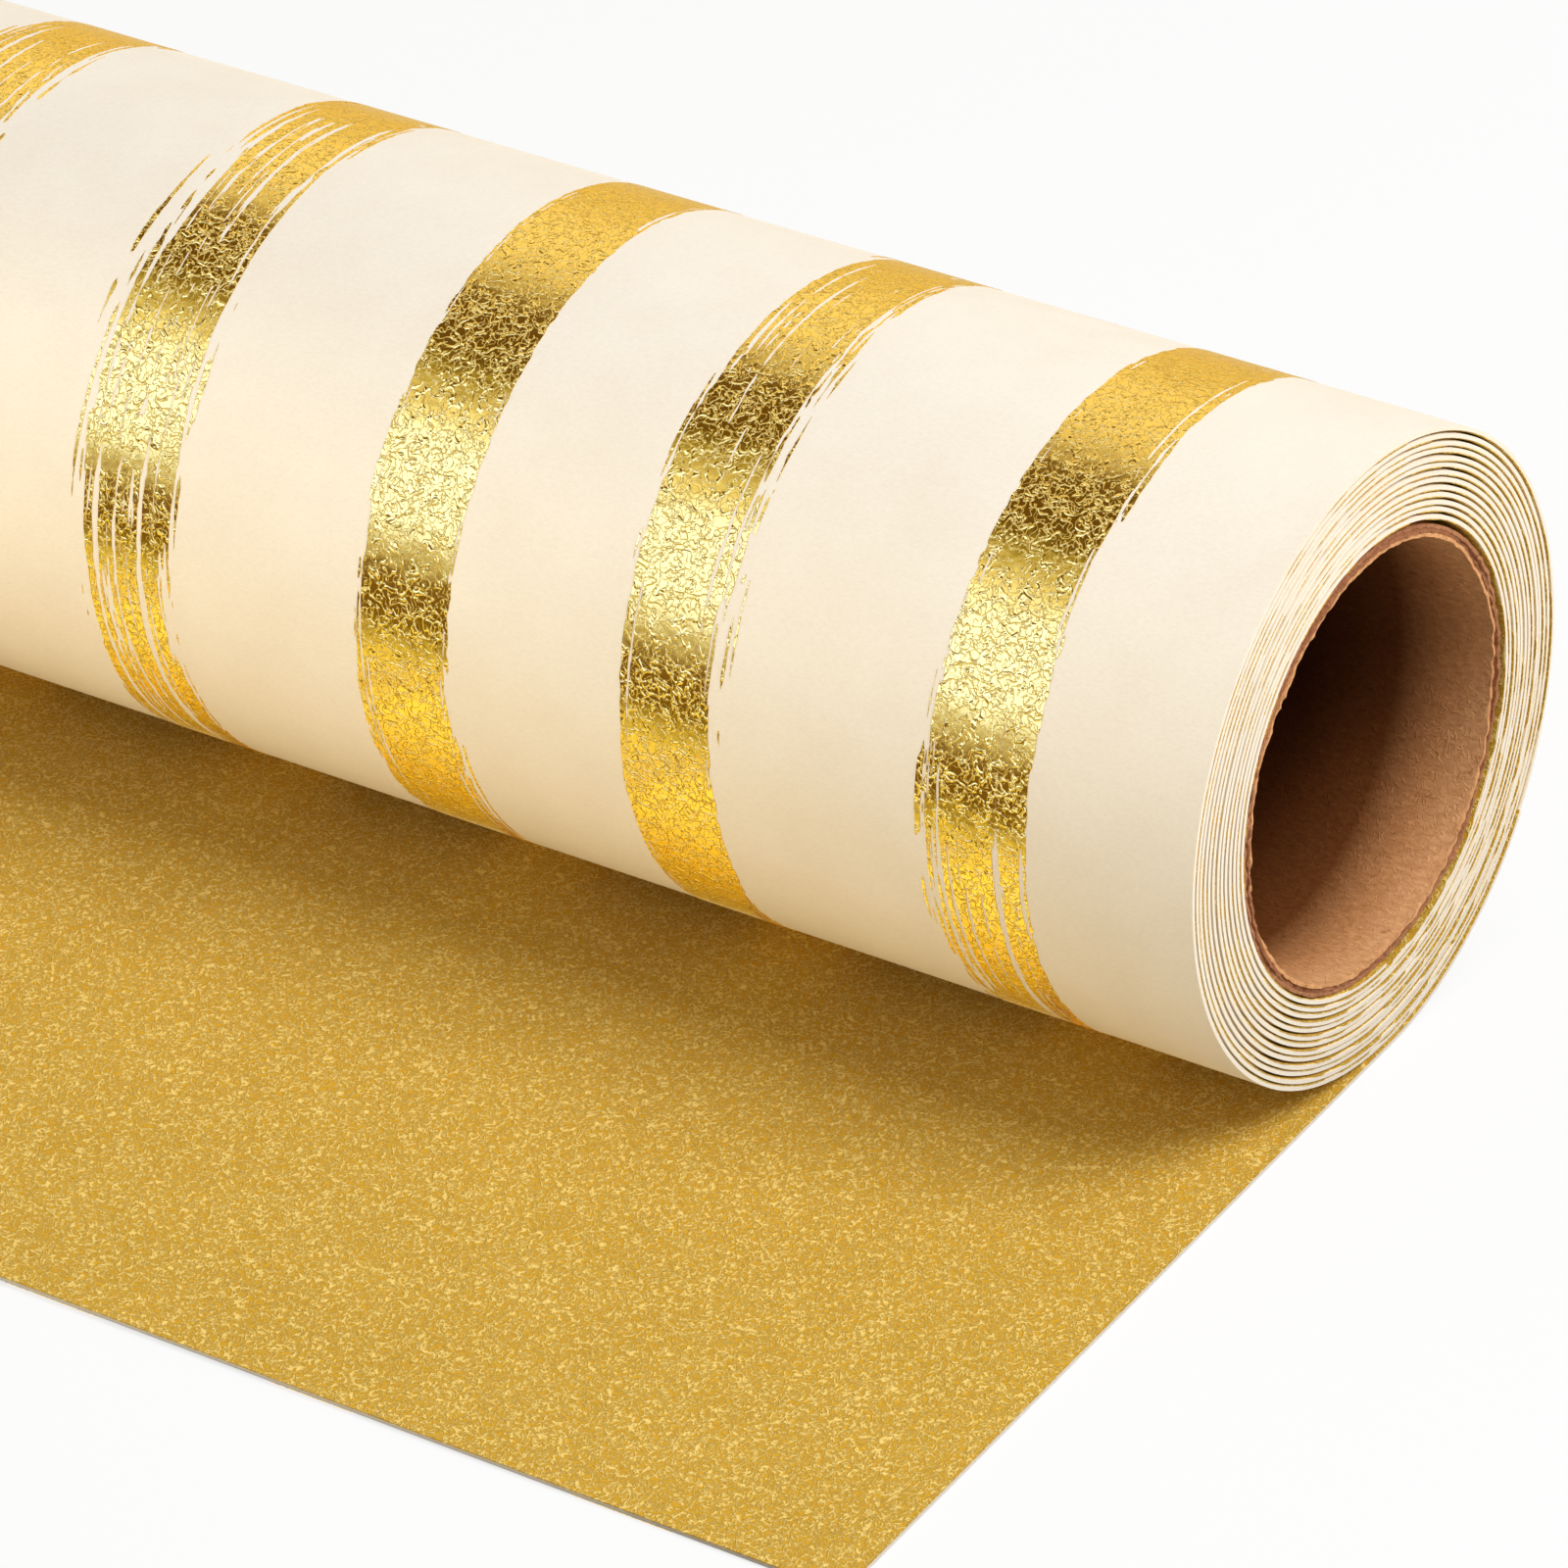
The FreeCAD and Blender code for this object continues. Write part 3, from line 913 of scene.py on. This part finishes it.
# What shiny surfaces mirror: degrees about the roll's axis from the viewer's horizon over the top,
# brightness, and tint. Long soft boxes lie along the roll, with dim gaps between them, and a gold card
# lies below.
PALE = (1.0, 0.92, 0.60)
DEEP = (1.0, 0.57, 0.08)
CLEAR = (1.0, 1.02, 0.70)
HOT = (1.0, 1.36, 2.40)
GOLD = (1.0, 0.90, 0.24)
DEEP_GOLD = (1.0, 0.70, 0.07)
MIRRORED = [
    (-180, 0.95, PALE), (-150, 0.80, PALE), (-121, 0.36, DEEP_GOLD), (-97, 0.72, DEEP_GOLD),
    (-85, 0.96, DEEP_GOLD), (-61, 1.22, GOLD), (-46, 1.42, GOLD), (-35, 1.15, GOLD), (-26, 0.66, GOLD),
    (-18, 0.17, DEEP), (-1, 0.19, DEEP), (8, 0.66, CLEAR), (19, 1.38, HOT), (48, 1.40, HOT),
    (60, 1.05, CLEAR), (70, 0.46, GOLD), (79, 0.13, DEEP), (104, 0.15, DEEP), (117, 0.84, PALE),
    (128, 1.12, PALE), (150, 1.14, PALE), (166, 0.92, PALE), (180, 0.95, PALE),
]

# What matt surfaces are lit by: height of the light, from the horizon at 0 to overhead at 1, and colour
SKY = [
    (0.0, (0.17, 0.14, 0.09)), (0.3, (0.25, 0.225, 0.19)), (0.6, (0.36, 0.355, 0.35)),
    (1.0, (0.50, 0.50, 0.50)),
]



def world():
    """A light that is white overhead and warm low down, with soft boxes for whatever mirrors them."""
    made = bpy.data.worlds.new("studio")
    bpy.context.scene.world = made
    made.use_nodes = True
    made.cycles.sampling_method = "NONE"
    nodes = Nodes(made.node_tree)
    direction = nodes.add("ShaderNodeTexCoord").outputs["Generated"]
    parts = nodes.add("ShaderNodeSeparateXYZ", {"Vector": direction}).outputs
    toward_viewer = nodes.math("MULTIPLY", parts["Y"], -1.0)
    around = nodes.math("ARCTAN2", parts["Z"], toward_viewer)
    share = nodes.math("ADD", nodes.math("DIVIDE", around, TURN), 0.5)
    stops = [
        ((degrees + 180) / 360, tuple(level * part for part in tint))
        for degrees, level, tint in MIRRORED
    ]
    boxes = nodes.ramp(share, stops)
    sky = nodes.ramp(parts["Z"], SKY)
    path = nodes.add("ShaderNodeLightPath").outputs
    light = nodes.mix(path["Is Glossy Ray"], sky, boxes)
    seen = nodes.mix(path["Is Camera Ray"], light, (0.98, 0.98, 0.98, 1))
    background = nodes.add("ShaderNodeBackground", {"Color": seen, "Strength": 1.0})
    output = nodes.add("ShaderNodeOutputWorld")
    nodes.tree.links.new(background.outputs[0], output.inputs["Surface"])


CAMERA_PLACE = (12.7676, -19.6808, 16.2086)  # from the near end of the axis, in roll radii
CAMERA_YAW = 0.6474
CAMERA_PITCH = 0.6026
CAMERA_ROLL = -0.0909
CAMERA_LENS = 229.67
SENSOR = 36.0


def camera():
    """A long lens from the front right, above the roll."""
    data = bpy.data.cameras.new("camera")
    data.lens = CAMERA_LENS
    data.sensor_width = SENSOR
    data.clip_start = 0.01
    data.clip_end = 100
    cam = bpy.data.objects.new("camera", data)
    bpy.context.scene.collection.objects.link(cam)
    near_end = Vector((HALF_LENGTH, 0, AXIS_Z))
    cos_pitch = math.cos(CAMERA_PITCH)
    ahead = Vector((
        -math.sin(CAMERA_YAW) * cos_pitch, math.cos(CAMERA_YAW) * cos_pitch, -math.sin(CAMERA_PITCH)
    ))
    level = ahead.cross(Vector((0, 0, 1))).normalized()
    upright = level.cross(ahead)
    right = math.cos(CAMERA_ROLL) * level + math.sin(CAMERA_ROLL) * upright
    up = right.cross(ahead)
    axes = Matrix((right, up, -ahead)).transposed()
    cam.matrix_world = Matrix.Translation(near_end + Vector(CAMERA_PLACE) * AXIS_Z) @ axes.to_4x4()
    bpy.context.scene.camera = cam


bpy.context.scene.view_settings.view_transform = "Standard"
camera()
world()
key_light()
stage()
core()
wound_layers()
paper, backing = laid_layers()
foil = foil_strokes()
for piece in (paper, backing, foil):
    follow_web(piece)
